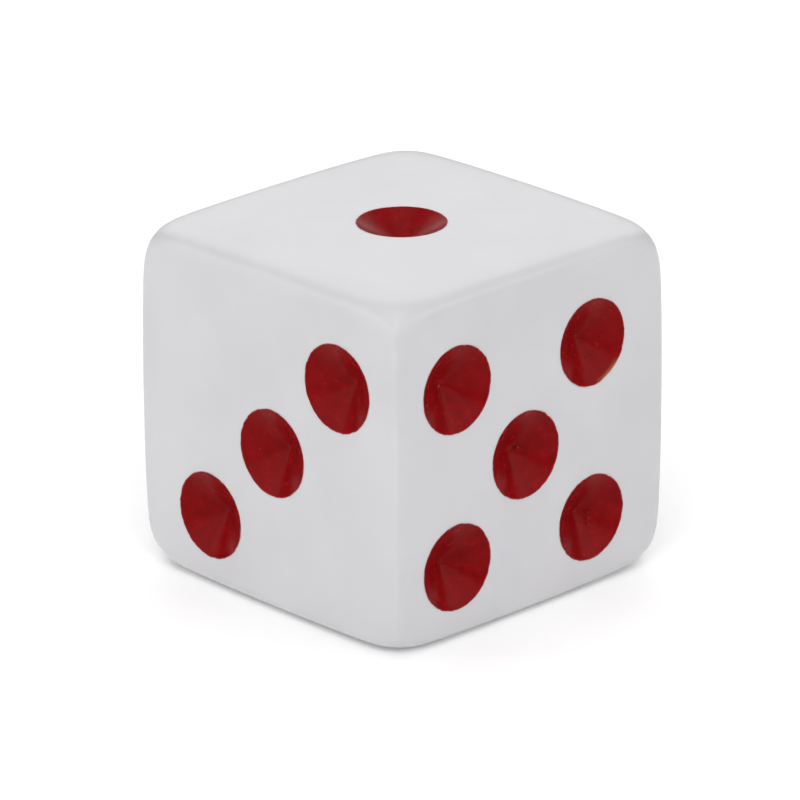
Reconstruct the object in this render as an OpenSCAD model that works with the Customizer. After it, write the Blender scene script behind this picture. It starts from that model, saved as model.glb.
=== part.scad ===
// A six-sided die: one moulded plastic block with 21 painted conical pips.
// The origin is at the middle of the bottom face, with +Z up. Face 1 is up, face 6 down,
// face 3 towards -Y, face 4 towards +Y, face 5 towards +X and face 2 towards -X.

/* [Body] */
// Width between opposite side faces
body_w = 16; // [15:0.5:20]
// Height between the top and bottom faces
body_h = 15.6; // [15:0.1:20]
// Radius of the rounded edges
edge_r = 0.9; // [0.5:0.05:1.5]
// How far tumbling has worn the corners back behind the rounded edges
corner_wear = 0.35; // [0.1:0.05:0.6]

/* [Pips] */
// Diameter of a pip where it meets the face
pip_d = 3.95; // [2:0.05:3.95]
// Angle across a pip's cone, that of a common drill point
pip_angle = 118; // [110:1:140]
// Diameter of the blunt tip at the bottom of a pip
pip_tip_d = 0.3; // [0.2:0.1:1]
// Distance from the middle of a pattern to its outer pips, along the face's edges
pip_pitch = 4.0; // [3.8:0.05:4]
// The same distance along the two rows of face 6, where three pips need a wall between them
six_pitch = 4.3; // [4.2:0.05:4.6]
// Thickness of the paint in a pip
paint_t = 0.06; // [0.03:0.01:0.15]

/* [Pattern position] */
// Sideways shift of the three-pip pattern on its face
three_side = 0.4; // [-0.6:0.05:0.6]
// Upward shift of the three-pip pattern on its face
three_up = -0.45; // [-0.6:0.05:0.6]
// Sideways shift of the five-pip pattern on its face
five_side = -0.5; // [-0.6:0.05:0.6]
// Upward shift of the five-pip pattern on its face
five_up = -0.45; // [-0.6:0.05:0.6]

/* [Hidden] */
$fn = 96;
body_color = "whitesmoke";
paint_color = "firebrick";
// How far a cutting cone is carried on past the face that it opens
overshoot = 0.2;
mid_h = body_h / 2;
pip_depth = (pip_d - pip_tip_d) / 2 / tan(pip_angle / 2);
// Distance from the die's middle to its corners, after tumbling
corner_reach = norm([body_w / 2 - edge_r, body_w / 2 - edge_r, mid_h - edge_r]) + edge_r - corner_wear;
SIDES = [-1, 1];

// Each face: middle, turn that carries a flat pattern on to it, pattern shift, and two pitches
SQUARE = [pip_pitch, pip_pitch];
FACE_1 = [[0, 0, body_h], [0, 0, 0], [0, 0], SQUARE];
FACE_2 = [[-body_w / 2, 0, mid_h], [90, 0, -90], [0, 0], SQUARE];
FACE_3 = [[0, -body_w / 2, mid_h], [90, 0, 0], [three_side, three_up], SQUARE];
FACE_4 = [[0, body_w / 2, mid_h], [90, 0, 180], [0, 0], SQUARE];
FACE_5 = [[body_w / 2, 0, mid_h], [90, 0, 90], [five_side, five_up], SQUARE];
FACE_6 = [[0, 0, 0], [180, 0, 0], [0, 0], [six_pitch, pip_pitch]];

// Each pip: node name, face, and place in the pattern, counted in pitches
PIPS = [
    ["pip_1_centre", FACE_1, [0, 0]],
    ["pip_2_lower_left", FACE_2, [-1, -1]],
    ["pip_2_upper_right", FACE_2, [1, 1]],
    ["pip_3_lower_left", FACE_3, [-1, -1]],
    ["pip_3_centre", FACE_3, [0, 0]],
    ["pip_3_upper_right", FACE_3, [1, 1]],
    ["pip_4_lower_left", FACE_4, [-1, -1]],
    ["pip_4_lower_right", FACE_4, [1, -1]],
    ["pip_4_upper_left", FACE_4, [-1, 1]],
    ["pip_4_upper_right", FACE_4, [1, 1]],
    ["pip_5_lower_left", FACE_5, [-1, -1]],
    ["pip_5_lower_right", FACE_5, [1, -1]],
    ["pip_5_centre", FACE_5, [0, 0]],
    ["pip_5_upper_left", FACE_5, [-1, 1]],
    ["pip_5_upper_right", FACE_5, [1, 1]],
    ["pip_6_back_left", FACE_6, [-1, -1]],
    ["pip_6_back_middle", FACE_6, [0, -1]],
    ["pip_6_back_right", FACE_6, [1, -1]],
    ["pip_6_front_left", FACE_6, [-1, 1]],
    ["pip_6_front_middle", FACE_6, [0, 1]],
    ["pip_6_front_right", FACE_6, [1, 1]],
];

// Puts its children, drawn on a flat face that looks up, at one pip's place on the die
module at_pip(pip) {
    face = pip[1];
    place = [for (i = [0, 1]) face[2][i] + pip[2][i] * face[3][i]];
    translate(face[0]) rotate(face[1]) translate(place) children();
}

// The cone that a pip's recess leaves, carried past the face and raised by lift
module pip_cone(lift) {
    widening = 2 * tan(pip_angle / 2);
    translate([0, 0, lift - pip_depth])
        cylinder(h = pip_depth + overshoot, d1 = pip_tip_d, d2 = pip_d + widening * overshoot);
}

// A bar along Z whose four long edges are rounded
module rounded_bar(width, depth, length) {
    linear_extrude(height = length, center = true) {
        square([width - 2 * edge_r, depth], center = true);
        square([width, depth - 2 * edge_r], center = true);
        for (x = SIDES, y = SIDES)
            translate([x * (width / 2 - edge_r), y * (depth / 2 - edge_r)]) circle(edge_r);
    }
}

// The block with all twelve edges rounded, on its own middle: what three crossing bars share
module rounded_block() {
    intersection() {
        rounded_bar(body_w, body_w, body_h);
        rotate([90, 0, 0]) rounded_bar(body_w, body_h, body_w);
        rotate([90, 0, 90]) rounded_bar(body_w, body_h, body_w);
    }
}

// The moulded block: rounded edges, corners worn to a ball, and a recess for each pip
module die_body() {
    color(body_color) difference() {
        translate([0, 0, mid_h]) intersection() {
            rounded_block();
            sphere(corner_reach);
        }
        for (pip = PIPS) at_pip(pip) pip_cone(0);
    }
}

// One pip's coat of paint: it lines the recess and ends flush with the face
module pip_paint(pip) {
    color(paint_color) at_pip(pip) intersection() {
        difference() {
            pip_cone(0);
            pip_cone(paint_t);
        }
        translate([0, 0, -pip_depth]) cylinder(h = pip_depth, d = pip_d);
    }
}

die_body();
for (pip = PIPS) pip_paint(pip);
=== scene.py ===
import math
import random

import bpy
from mathutils import Matrix, Vector


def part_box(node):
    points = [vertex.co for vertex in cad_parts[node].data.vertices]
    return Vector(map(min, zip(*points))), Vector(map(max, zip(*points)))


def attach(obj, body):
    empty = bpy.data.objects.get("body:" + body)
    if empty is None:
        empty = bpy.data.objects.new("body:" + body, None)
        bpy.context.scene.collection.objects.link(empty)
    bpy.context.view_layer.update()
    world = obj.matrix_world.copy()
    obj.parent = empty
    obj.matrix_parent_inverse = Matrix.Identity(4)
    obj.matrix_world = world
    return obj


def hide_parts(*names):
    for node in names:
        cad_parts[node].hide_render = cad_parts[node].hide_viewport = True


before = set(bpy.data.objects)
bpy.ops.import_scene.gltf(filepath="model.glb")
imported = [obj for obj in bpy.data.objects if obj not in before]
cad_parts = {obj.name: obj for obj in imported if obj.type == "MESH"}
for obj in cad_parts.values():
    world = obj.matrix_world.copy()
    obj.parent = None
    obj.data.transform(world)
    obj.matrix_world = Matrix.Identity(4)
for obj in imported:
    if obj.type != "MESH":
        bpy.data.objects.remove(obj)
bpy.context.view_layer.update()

# ---------------------------------------------------------------------------
# The moulded block
# A solid block of white plastic, moulded in one shot and tumbled in a barrel
# until its edges and corners are round. It is made about its own middle.
# ---------------------------------------------------------------------------
MM = 0.001
EDGE_BAND = 1.2 * MM  # how far the rounding of an edge reaches into its faces
CORNER_PRESS = 0.4 * MM  # how far tumbling pushes a corner in, along each axis
CORNER_NEAR_PRESS = 0.15 * MM  # and the ends of the edges that meet there
UPRIGHT_CREASE = 0.35  # how much sharper the four upright edges are
TUMBLING = 0.03  # share of the way towards a ball that the faces have worn
SMOOTH_STEPS = 4
SAME_PLACE = 0.01 * MM  # points nearer than this to an edge or a face lie on it

block_low, block_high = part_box("die_body")
block_size = block_high - block_low
block_middle = (block_low + block_high) / 2


def start_fresh():
    """Nothing is selected, so that an operator acts on the new piece alone."""
    bpy.ops.object.select_all(action="DESELECT")


def pick(piece):
    """The piece alone is selected and active."""
    start_fresh()
    piece.select_set(True)
    bpy.context.view_layer.objects.active = piece


def finish_with(piece, kind, **settings):
    """Adds a modifier with its settings and applies it."""
    pick(piece)
    step = piece.modifiers.new(kind.title(), kind)
    for name, value in settings.items():
        setattr(step, name, value)
    bpy.ops.object.modifier_apply(modifier=step.name)


def settle(piece):
    """Puts the piece's turn, size and place into its mesh."""
    pick(piece)
    bpy.ops.object.transform_apply(location=True, rotation=True, scale=True)


start_fresh()
bpy.ops.mesh.primitive_cube_add(size=1, scale=block_size)
block = bpy.context.object
block.name = "moulded_block"
settle(block)
bpy.ops.object.mode_set(mode="EDIT")
bpy.ops.mesh.select_all(action="SELECT")
bpy.ops.mesh.bevel(offset=2 * EDGE_BAND, segments=4, profile=1.0, affect="EDGES")
bpy.ops.mesh.select_all(action="DESELECT")
bpy.ops.object.mode_set(mode="OBJECT")
half = block_size / 2


def off_faces(point):
    """How far the point lies inside the block's sides, ends and top or bottom."""
    return [half[i] - abs(point.co[i]) for i in range(3)]


def press_in(edge_end, depth):
    """Presses the block's corners, or the ends of its edges, towards its middle."""
    for point in block.data.vertices:
        away = sorted(off_faces(point))
        point.select = away[1] < SAME_PLACE and abs(away[2] - edge_end) < SAME_PLACE
    bpy.ops.object.mode_set(mode="EDIT")
    bpy.ops.transform.resize(
        value=[1 - depth / half[i] for i in range(3)], center_override=(0, 0, 0)
    )
    bpy.ops.object.mode_set(mode="OBJECT")


# The upright edges are left a little sharper than the others
for point in block.data.vertices:
    point.select = max(off_faces(point)[:2]) < SAME_PLACE
bpy.ops.object.mode_set(mode="EDIT")
bpy.ops.mesh.select_mode(type="EDGE")
bpy.ops.transform.edge_crease(value=UPRIGHT_CREASE)
bpy.ops.mesh.select_mode(type="VERT")
bpy.ops.mesh.select_all(action="DESELECT")
bpy.ops.object.mode_set(mode="OBJECT")
press_in(EDGE_BAND, CORNER_NEAR_PRESS)
press_in(0, CORNER_PRESS)
finish_with(block, "SUBSURF", levels=SMOOTH_STEPS, render_levels=SMOOTH_STEPS)

# ---------------------------------------------------------------------------
# The recesses
# Each pip is a shallow cone with the angle of a drill point and a softened
# lip. One tool is shaped for all 21 and cut out of the block at each pip.
# ---------------------------------------------------------------------------
DRILL_ANGLE = 118  # across the cone, in degrees
CONE_SLOPE = math.radians(90 - DRILL_ANGLE / 2)  # of the cone's wall, from the face
LIP_RADIUS = 0.28 * MM
LIP_START = math.radians(10)  # slope at which the rounding of the lip meets the face
TIP_RADIUS = 0.35 * MM  # rounding at the bottom of the cone
TOOL_SIDES = 128
ABOVE = 0.4 * MM  # how far the tool stands out of the face that it cuts
NO_LENGTH = 0.0005 * MM
SMOOTH_BELOW = math.radians(28)  # a sharper turn than this shows as an edge

pip_nodes = sorted(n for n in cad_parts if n.startswith("pip_"))


def pip_frame(node):
    """The pip's place about the block's middle, as a matrix from a pip drawn at the
    origin and looking up, and the pip's radius."""
    low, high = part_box(node)
    size, middle = high - low, (low + high) / 2 - block_middle
    axis = min(range(3), key=lambda i: size[i])
    outward = Vector((0, 0, 0))
    outward[axis] = math.copysign(1, middle[axis])
    middle[axis] = outward[axis] * half[axis]
    turn = outward.to_track_quat("Z", "Y" if axis < 2 else "X")
    return Matrix.Translation(middle) @ turn.to_matrix().to_4x4(), max(size) / 2


pip_places = {node: pip_frame(node)[0] for node in pip_nodes}
pip_radius = pip_frame(pip_nodes[0])[1]


def lip_rings(first_slope, steps):
    """Rings (radius, depth) round the lip, from the face down to the straight wall."""
    outer = pip_radius + LIP_RADIUS * math.tan(CONE_SLOPE / 2)
    rings = []
    for i in range(steps + 1):
        slope = first_slope + (CONE_SLOPE - first_slope) * i / steps
        rings.append((outer - LIP_RADIUS * math.sin(slope), LIP_RADIUS * (1 - math.cos(slope))))
    return rings


def tip_rings(rise, steps):
    """Rings round the blunt tip, which lies rise above the recess's own tip."""
    bottom = pip_radius * math.tan(CONE_SLOPE) - TIP_RADIUS * (1 / math.cos(CONE_SLOPE) - 1)
    rings = []
    for i in range(steps, 0, -1):
        slope = CONE_SLOPE * i / steps
        depth = bottom - TIP_RADIUS * (1 - math.cos(slope)) - rise
        rings.append((TIP_RADIUS * math.sin(slope), depth))
    return rings


def wall_rings(lip, tip, steps):
    """Rings down the straight wall between the lip's last ring and the tip's first."""
    top, foot = lip[-1], tip[0]
    return [
        tuple(top[k] + (foot[k] - top[k]) * i / steps for k in range(2)) for i in range(1, steps)
    ]


def sink(rings):
    """Carries the selected disc down through the rings, each a copy of the last."""
    for (radius, depth), (next_radius, next_depth) in zip(rings, rings[1:]):
        bpy.ops.mesh.extrude_region_move(
            TRANSFORM_OT_translate={"value": (0, 0, depth - next_depth)}
        )
        ratio = next_radius / radius
        bpy.ops.transform.resize(value=(ratio, ratio, 1), center_override=(0, 0, 0))


lip = lip_rings(LIP_START, 4)
tip = tip_rings(0, 4)
flare = (lip[0][0] + ABOVE / 2, lip[0][1] - ABOVE / 2 * math.tan(LIP_START))
tool_rings = [(flare[0], -ABOVE), flare, *lip, *wall_rings(lip, tip, 4), *tip]
start_fresh()
bpy.ops.mesh.primitive_circle_add(
    vertices=TOOL_SIDES, radius=tool_rings[0][0], fill_type="NGON", location=(0, 0, ABOVE)
)
tool = bpy.context.object
tool.name = "recess_tool"
settle(tool)
bpy.ops.object.mode_set(mode="EDIT")
bpy.ops.mesh.select_all(action="SELECT")
bpy.ops.mesh.extrude_region_move()
sink(tool_rings)
bpy.ops.mesh.merge(type="CENTER")
bpy.ops.mesh.select_all(action="SELECT")
bpy.ops.mesh.normals_make_consistent(inside=False)
bpy.ops.object.mode_set(mode="OBJECT")

cutters = []
for node in pip_nodes:
    pick(tool)
    bpy.ops.object.duplicate()
    cutter = bpy.context.object
    cutter.matrix_world = pip_places[node]
    settle(cutter)
    cutters.append(cutter)
start_fresh()
for cutter in cutters:
    cutter.select_set(True)
bpy.context.view_layer.objects.active = cutters[0]
bpy.ops.object.join()
all_cutters = cutters[0]
finish_with(block, "BOOLEAN", operation="DIFFERENCE", solver="EXACT", object=all_cutters)
for spent in (tool, all_cutters):
    bpy.data.objects.remove(spent)

# Where a lip crosses a mesh line the cut leaves an edge with no length, and it is dissolved.
# Merging by distance would depend on the order of the points, which differs between runs.
pick(block)
bpy.ops.object.mode_set(mode="EDIT")
bpy.ops.mesh.select_all(action="SELECT")
bpy.ops.mesh.dissolve_degenerate(threshold=NO_LENGTH)
bpy.ops.mesh.select_all(action="DESELECT")
bpy.ops.object.mode_set(mode="OBJECT")


def tumble(piece):
    """Wears the piece towards a ball about the block's middle, as the barrel does."""
    finish_with(
        piece, "CAST", cast_type="SPHERE", factor=TUMBLING, size=half[2], radius=0,
        use_radius_as_size=False,
    )


tumble(block)
worn = [max(abs(v.co[i]) for v in block.data.vertices) for i in range(3)]
refill = Matrix.Diagonal([half[i] / worn[i] for i in range(3)] + [1])


def set_in_place(piece):
    """Brings the piece back to full size and up to where the die stands."""
    piece.matrix_world = Matrix.Translation(block_middle) @ refill
    settle(piece)
    bpy.ops.object.shade_smooth_by_angle(angle=SMOOTH_BELOW)


set_in_place(block)
finish_with(block, "WEIGHTED_NORMAL", mode="FACE_AREA", weight=80, keep_sharp=True)


def srgb(hex_colour):
    """A hex colour as the linear values that a shader takes."""
    channels = [int(hex_colour[i : i + 2], 16) / 255 for i in (1, 3, 5)]
    linear = [c / 12.92 if c <= 0.04045 else ((c + 0.055) / 1.055) ** 2.4 for c in channels]
    return (*linear, 1)


def new_material(name):
    """A new material, its node tree and its Principled shader."""
    material = bpy.data.materials.new(name)
    material.use_nodes = True
    tree = material.node_tree
    return material, tree, tree.nodes["Principled BSDF"]


def add(tree, kind, settings=None, inputs=None):
    """Adds a node. settings are its properties, and inputs are values or links by socket."""
    node = tree.nodes.new("ShaderNode" + kind)
    for name, value in (settings or {}).items():
        setattr(node, name, value)
    for name, value in (inputs or {}).items():
        if isinstance(value, bpy.types.NodeSocket):
            tree.links.new(value, node.inputs[name])
        else:
            node.inputs[name].default_value = value
    return node


# White ABS, moulded and then tumbled: a clean, faintly cool white with a satin
# gloss, clouded by flow in the mould, dulled by fine tumbling scratches and dotted
# with a few specks of dust. A little light goes in, so a pip has a soft shade round it.
white, tree, skin = new_material("white_abs_tumbled")
place = add(tree, "TexCoord").outputs["Object"]
flow = add(tree, "TexNoise", inputs={"Vector": place, "Scale": 230.0, "Detail": 3.0})
tint = add(tree, "ValToRGB", inputs={"Fac": flow.outputs["Fac"]})
tint.color_ramp.elements[0].position = 0.32
tint.color_ramp.elements[0].color = srgb("#c3c2c5")
tint.color_ramp.elements[1].position = 0.68
tint.color_ramp.elements[1].color = srgb("#c8c7c9")
# Dust: a cell about every 3 mm, of which nearly one in three holds a speck 0.1 mm across
cells = add(tree, "TexVoronoi", inputs={"Vector": place, "Scale": 330.0})
speck = add(
    tree, "MapRange", None,
    {"Value": cells.outputs["Distance"], "From Min": 0.012, "From Max": 0.03,
     "To Min": 0.55, "To Max": 0.0},
)
chosen = add(
    tree, "Math", {"operation": "GREATER_THAN"},
    {0: add(tree, "SeparateColor", inputs={"Color": cells.outputs["Color"]}).outputs[0], 1: 0.7},
)
dust = add(tree, "Math", {"operation": "MULTIPLY"}, {0: speck.outputs[0], 1: chosen.outputs[0]})
dusty = add(
    tree, "Mix", {"data_type": "RGBA"},
    {"Factor": dust.outputs[0], 6: tint.outputs["Color"], 7: srgb("#7d7672")},
)
tree.links.new(dusty.outputs[2], skin.inputs["Base Color"])
# The gloss comes and goes over a millimetre or two, where the barrel's grit rubbed
rub = add(tree, "TexNoise", inputs={"Vector": place, "Scale": 900.0, "Detail": 4.0})
gloss = add(
    tree, "MapRange", inputs={"Value": rub.outputs["Fac"], "To Min": 0.27, "To Max": 0.41}
)
tree.links.new(gloss.outputs[0], skin.inputs["Roughness"])
# Low waves left by shrinkage as the plastic cooled, with fine tumbling marks on them
waves = add(tree, "TexNoise", inputs={"Vector": place, "Scale": 380.0, "Detail": 2.0})
marks = add(tree, "TexNoise", inputs={"Vector": place, "Scale": 9000.0, "Detail": 3.0})
low = add(
    tree, "Bump", inputs={"Strength": 0.22, "Distance": 0.02 * MM, "Height": waves.outputs["Fac"]}
)
fine = add(
    tree, "Bump",
    inputs={"Strength": 0.25, "Distance": 0.0015 * MM, "Height": marks.outputs["Fac"],
            "Normal": low.outputs["Normal"]},
)
tree.links.new(fine.outputs["Normal"], skin.inputs["Normal"])
skin.inputs["IOR"].default_value = 1.5
skin.inputs["Subsurface Weight"].default_value = 0.35
skin.inputs["Subsurface Radius"].default_value = (1.0, 0.95, 0.9)
skin.inputs["Subsurface Scale"].default_value = 0.35 * MM
block.data.materials.clear()
block.data.materials.append(white)
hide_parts("die_body")
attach(block, "root")

# ---------------------------------------------------------------------------
# The paint in the pips
# Red enamel, brushed into each recess and wiped off the face. It is thin at
# the lip and pools at the tip, where it dries rounder than the cone.
# ---------------------------------------------------------------------------
PAINT_GAP = 0.004 * MM  # between the film and the recess, so that the two never cross
PAINT_SIDES = 160
WALL_STEPS = 14
PAINT_THICK = 0.03 * MM
EDGE_THICK = 0.15  # share of that thickness which is left at the lip
THIN_REACH = 0.6 * MM  # how far in from the lip the film is full thickness
POOL_REACH = 0.35 * MM  # how far out from the tip the paint has pooled
POOL_RISE = 0.04 * MM
RAGGED_FROM = 0.9  # share of the pip's radius past which the edge is drawn in
SLOW_DRAW = 0.012 * MM  # long waves of the ragged edge, at the middle of their swing
QUICK_DRAW = 0.04 * MM  # its quick jumps

# Red enamel: deep and glossy where it is thick, paler and pinkish where it was wiped
# thin at the lip, a little uneven with brush marks, and dotted with trapped grit. On the
# lumps in the pool the same paleness is a painted highlight. Where the brush missed the
# lip it leaves a thin ochre stain.
red, tree, coat = new_material("red_enamel_brushed")
place = add(tree, "TexCoord").outputs["Object"]
at_rim = add(tree, "Attribute", {"attribute_name": "rim"}).outputs["Fac"]
mottle = add(tree, "TexNoise", inputs={"Vector": place, "Scale": 2100.0, "Detail": 4.0})
depth = add(tree, "ValToRGB", inputs={"Fac": mottle.outputs["Fac"]})
depth.color_ramp.elements[0].position = 0.3
depth.color_ramp.elements[0].color = srgb("#72070a")
depth.color_ramp.elements[1].position = 0.7
depth.color_ramp.elements[1].color = srgb("#820a0d")
ragged = add(tree, "TexNoise", inputs={"Vector": place, "Scale": 5200.0, "Detail": 3.0})
# Paler by the rim value: thin paint at the lip, and a painted highlight on the lumps
wiped_rim_and_lump_highlight = add(
    tree, "Math", {"operation": "MULTIPLY_ADD"}, {0: ragged.outputs["Fac"], 1: 0.05, 2: at_rim}
)
thin_rim_and_lump_highlight = add(
    tree, "MapRange",
    inputs={"Value": wiped_rim_and_lump_highlight.outputs[0], "From Min": 1.0, "From Max": 1.03, "To Max": 0.5},
)
pale = add(
    tree, "Mix", {"data_type": "RGBA"},
    {"Factor": thin_rim_and_lump_highlight.outputs[0], 6: depth.outputs["Color"], 7: srgb("#c06a70")},
)
at_stain = add(tree, "Attribute", {"attribute_name": "stain"}).outputs["Fac"]
stained = add(
    tree, "Mix", {"data_type": "RGBA"},
    {"Factor": at_stain, 6: pale.outputs[2], 7: srgb("#b08a5c")},
)
grit = add(tree, "TexVoronoi", inputs={"Vector": place, "Scale": 2300.0})
grain = add(
    tree, "MapRange",
    inputs={"Value": grit.outputs["Distance"], "From Min": 0.05, "From Max": 0.16,
            "To Min": 0.7, "To Max": 0.0},
)
rare = add(
    tree, "Math", {"operation": "GREATER_THAN"},
    {0: add(tree, "SeparateColor", inputs={"Color": grit.outputs["Color"]}).outputs[0], 1: 0.86},
)
gritty = add(tree, "Math", {"operation": "MULTIPLY"}, {0: grain.outputs[0], 1: rare.outputs[0]})
dotted = add(
    tree, "Mix", {"data_type": "RGBA"},
    {"Factor": gritty.outputs[0], 6: stained.outputs[2], 7: srgb("#4a0506")},
)
tree.links.new(dotted.outputs[2], coat.inputs["Base Color"])
sheen = add(
    tree, "MapRange", inputs={"Value": mottle.outputs["Fac"], "To Min": 0.2, "To Max": 0.32}
)
tree.links.new(sheen.outputs[0], coat.inputs["Roughness"])
brushing = add(tree, "TexNoise", inputs={"Vector": place, "Scale": 1700.0, "Detail": 3.0})
brushed = add(
    tree, "Bump",
    inputs={"Strength": 0.2, "Distance": 0.02 * MM, "Height": brushing.outputs["Fac"]},
)
grainy = add(
    tree, "Bump",
    inputs={"Strength": 0.5, "Distance": 0.01 * MM, "Height": gritty.outputs[0],
            "Normal": brushed.outputs["Normal"]},
)
tree.links.new(grainy.outputs["Normal"], coat.inputs["Normal"])
# The reflection is set far weaker than hard enamel's, whose IOR is near 1.5, so that the
# pale table hardly shows in the cones. These two values suit this piece only.
coat.inputs["IOR"].default_value = 1.12
coat.inputs["Specular IOR Level"].default_value = 0.6

# The film's underside follows the recess. Its face is a shallower cone that meets the
# lip in a thin edge and ends in the rounder pool.
under_lip = lip_rings(CONE_SLOPE * 0.5, 3)
under_tip = tip_rings(PAINT_GAP, 4)
under = [*under_lip, *wall_rings(under_lip, under_tip, WALL_STEPS), *under_tip]


def face_of_film(ring):
    """The point of the film's face above a ring of its underside."""
    radius, depth = ring
    share = min(1, (under[0][0] - radius) / THIN_REACH)
    thick = PAINT_THICK * (EDGE_THICK + (1 - EDGE_THICK) * share)
    pool = POOL_RISE * max(0, 1 - radius / POOL_REACH) ** 2
    return radius, depth - thick - pool


# One film is made, closed from its face over its edge to its underside, and copied
face = [face_of_film(r) for r in reversed(under)]
start_fresh()
bpy.ops.mesh.primitive_circle_add(
    vertices=PAINT_SIDES, radius=face[0][0], fill_type="NGON", location=(0, 0, -face[0][1])
)
plain_film = bpy.context.object
settle(plain_film)
bpy.ops.object.mode_set(mode="EDIT")
bpy.ops.mesh.select_all(action="SELECT")
sink([*face, *under])
bpy.ops.mesh.merge(type="CENTER")
bpy.ops.mesh.select_all(action="SELECT")
bpy.ops.mesh.normals_make_consistent(inside=False)
bpy.ops.mesh.select_all(action="DESELECT")
bpy.ops.object.mode_set(mode="OBJECT")

# Lumps that dried in the pool, by pip: across, up, height and reach, in mm
LUMPS = {
    "pip_5_centre": [(0.35, 0.0, 0.11, 0.16)],
    "pip_5_lower_right": [
        (0.52, -0.1, 0.1, 0.16), (0.5, -0.4, 0.07, 0.18), (0.42, -0.66, 0.07, 0.14),
    ],
    "pip_5_upper_right": [(0.8, -0.5, 0.06, 0.14)],
    "pip_5_upper_left": [(-0.1, -0.08, 0.06, 0.13), (-0.2, -0.42, 0.04, 0.1)],
    "pip_5_lower_left": [(0.66, -0.22, 0.05, 0.14)],
    "pip_3_upper_right": [(-1.15, -0.15, 0.04, 0.1), (-0.65, 0.0, 0.05, 0.12)],
    "pip_3_centre": [(-1.15, -0.2, 0.05, 0.12)],
}
# Slivers of the lip that the brush missed: direction and half width in degrees, depth,
# and how strongly the stain shows there
MISSED = {
    "pip_5_upper_right": (-58, 24, 0.03 * MM, 0.55),
    "pip_3_centre": (-46, 9, 0.02 * MM, 0.0),
}


def coat_of_paint(node, seed):
    """A copy of the film for one pip, with its own ragged edge and its own lumps."""
    pick(plain_film)
    bpy.ops.object.duplicate()
    film = bpy.context.object
    film.name = "paint_" + node

    # The brush leaves a ragged edge, drawn in by up to a twentieth of a millimetre. All
    # points on one spoke move by one amount, so the face and the underside never cross.
    hand = random.Random(seed)
    points = film.data.vertices
    slow = [hand.uniform(0, math.tau) for _ in range(3)]
    jumps = [hand.random() ** 2 for _ in range(PAINT_SIDES)]
    rough = [
        (jumps[k - 1] + 2 * jumps[k] + jumps[(k + 1) % PAINT_SIDES]) / 4
        for k in range(PAINT_SIDES)
    ]
    missed_at, missed_half, missed_depth, stained_by = MISSED.get(node, (0, 1, 0, 0))
    rim = []
    stain = [0.0] * len(points)
    for point in points:
        across = point.co.xy.length
        share = across / pip_radius
        rim.append(share)
        if share < RAGGED_FROM:
            continue
        angle = math.atan2(point.co.y, point.co.x)
        wander = sum(math.sin((5 + 4 * k) * angle + slow[k]) for k in range(3)) / 3
        spoke = round(angle / math.tau * PAINT_SIDES) % PAINT_SIDES
        draw = SLOW_DRAW * (1 + wander) + QUICK_DRAW * rough[spoke]
        off = (math.degrees(angle) - missed_at) / missed_half
        missed = max(0, 1 - off * off)
        draw += missed_depth * missed
        fade = min(1, (share - RAGGED_FROM) / (1 - RAGGED_FROM))
        stain[point.index] = stained_by * missed * fade
        point.co.xy *= 1 - draw * fade / across

    # Lumps are drawn up out of the film's face near its tip. Their tops get a rim value
    # over 1, which paints them paler as a painted highlight
    lumps = LUMPS.get(node) or [
        (hand.uniform(-0.6, 0.6), hand.uniform(-0.6, 0.6), 0.05, hand.uniform(0.1, 0.16))
    ]
    for across, up_face, height, reach in lumps:
        target = Vector((across, up_face)) * MM
        # Painted highlight: the lump's top is made paler through the rim value
        for point in points:
            near = (point.co.xy - target).length / (0.5 * reach * MM)
            if near < 1:
                rim[point.index] = 1.0 + 0.02 * (1 - near)
        nearest = min(
            (p for p in points if p.normal.z > 0.3), key=lambda p: (p.co.xy - target).length
        )
        nearest.select = True
        bpy.ops.object.mode_set(mode="EDIT")
        bpy.ops.transform.translate(
            value=(0, 0, height * MM), use_proportional_edit=True, use_proportional_connected=True,
            proportional_edit_falloff="SMOOTH", proportional_size=reach * MM,
        )
        bpy.ops.mesh.select_all(action="DESELECT")
        bpy.ops.object.mode_set(mode="OBJECT")
    for name, values in (("rim", rim), ("stain", stain)):
        film.data.attributes.new(name, "FLOAT", "POINT").data.foreach_set("value", values)
    film.matrix_world = pip_places[node]
    settle(film)
    tumble(film)
    set_in_place(film)
    film.data.materials.append(red)
    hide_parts(node)
    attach(film, "root")


for seed, node in enumerate(pip_nodes):
    coat_of_paint(node, seed)
bpy.data.objects.remove(plain_film)

# ---------------------------------------------------------------------------
# The studio
# A wide white laminate table in a nearly dark room. All but a little of the
# light comes from seven soft lamps that stand round the die and over it.
# ---------------------------------------------------------------------------
start_fresh()
bpy.ops.mesh.primitive_plane_add(size=6, location=(0, 0, 0))
table = bpy.context.object
table.name = "table"
table_top, tree, top = new_material("white_laminate")
top.inputs["Base Color"].default_value = srgb("#f6f6f6")
top.inputs["Roughness"].default_value = 0.8
top.inputs["Specular IOR Level"].default_value = 0.2
top.inputs["Emission Color"].default_value = (1, 1, 1, 1)
top.inputs["Emission Strength"].default_value = 0.1
table.data.materials.append(table_top)

scene = bpy.context.scene
scene.view_settings.view_transform = "Standard"
room = bpy.data.worlds.new("dim_room")
scene.world = room
room.use_nodes = True
room.node_tree.nodes["Background"].inputs["Color"].default_value = (1, 1, 1, 1)
room.node_tree.nodes["Background"].inputs["Strength"].default_value = 0.015


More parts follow.
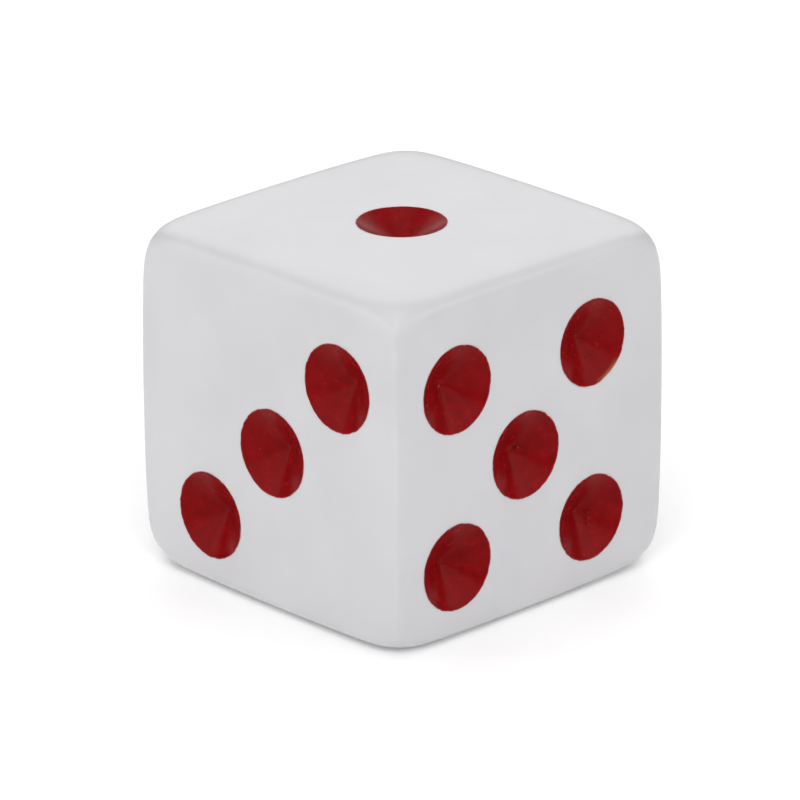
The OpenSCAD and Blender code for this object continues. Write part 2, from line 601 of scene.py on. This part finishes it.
def soft_lamp(name, turn, lift, distance, width, height, power):
    """A soft box at a turn and a lift round the die, in degrees. It faces the die. The
    distance, width and height are in metres, and the power in watts."""
    lamp = bpy.data.lights.new(name, "AREA")
    lamp.shape = "RECTANGLE"
    lamp.size, lamp.size_y = width, height
    lamp.energy = power
    holder = bpy.data.objects.new(name, lamp)
    scene.collection.objects.link(holder)
    turn, lift = math.radians(turn), math.radians(lift)
    towards = Vector((
        math.sin(turn) * math.cos(lift), -math.cos(turn) * math.cos(lift), math.sin(lift)
    ))
    holder.location = block_middle + towards * distance
    holder.rotation_euler = towards.to_track_quat("Z", "Y").to_euler()


soft_lamp("left_box", -21, 17, 0.6, 0.73, 0.3, 1.55)
soft_lamp("right_box", 113.5, 21, 0.6, 0.73, 0.19, 1.2)
soft_lamp("front_fill", 46.25, 45, 0.6, 0.5, 0.3, 1.85)
soft_lamp("upper_left_panel", -62, 47, 0.6, 0.5, 0.3, 0.42)
soft_lamp("upper_right_panel", 154, 47, 0.6, 0.5, 0.3, 0.44)
soft_lamp("overhead_panel", 0, 90, 0.7, 0.6, 0.6, 1.73)
soft_lamp("back_panel", 226, 30, 0.7, 0.8, 0.5, 2.0)

# The camera's own numbers: how far it stands from the die's middle and how it is turned
CAMERA_TURN, CAMERA_LIFT, CAMERA_ROLL = (math.radians(a) for a in (46.251, 21.092, -0.272))
CAMERA_DISTANCE = 0.27255
CAMERA_LENS = 286.54
AIM_SIDE, AIM_UP = 0.102 * MM, 0.293 * MM

back = Vector((
    math.sin(CAMERA_TURN) * math.cos(CAMERA_LIFT),
    -math.cos(CAMERA_TURN) * math.cos(CAMERA_LIFT),
    math.sin(CAMERA_LIFT),
))
level = Vector((0, 0, 1)).cross(back).normalized()
side = Matrix.Rotation(CAMERA_ROLL, 3, back) @ level
up = back.cross(side)
camera = bpy.data.objects.new("camera", bpy.data.cameras.new("camera"))
camera.data.lens = CAMERA_LENS
camera.data.sensor_width = 36
place = block_middle + back * CAMERA_DISTANCE - side * AIM_SIDE - up * AIM_UP
camera.matrix_world = Matrix.Translation(place) @ Matrix((side, up, back)).transposed().to_4x4()
scene.collection.objects.link(camera)
scene.camera = camera
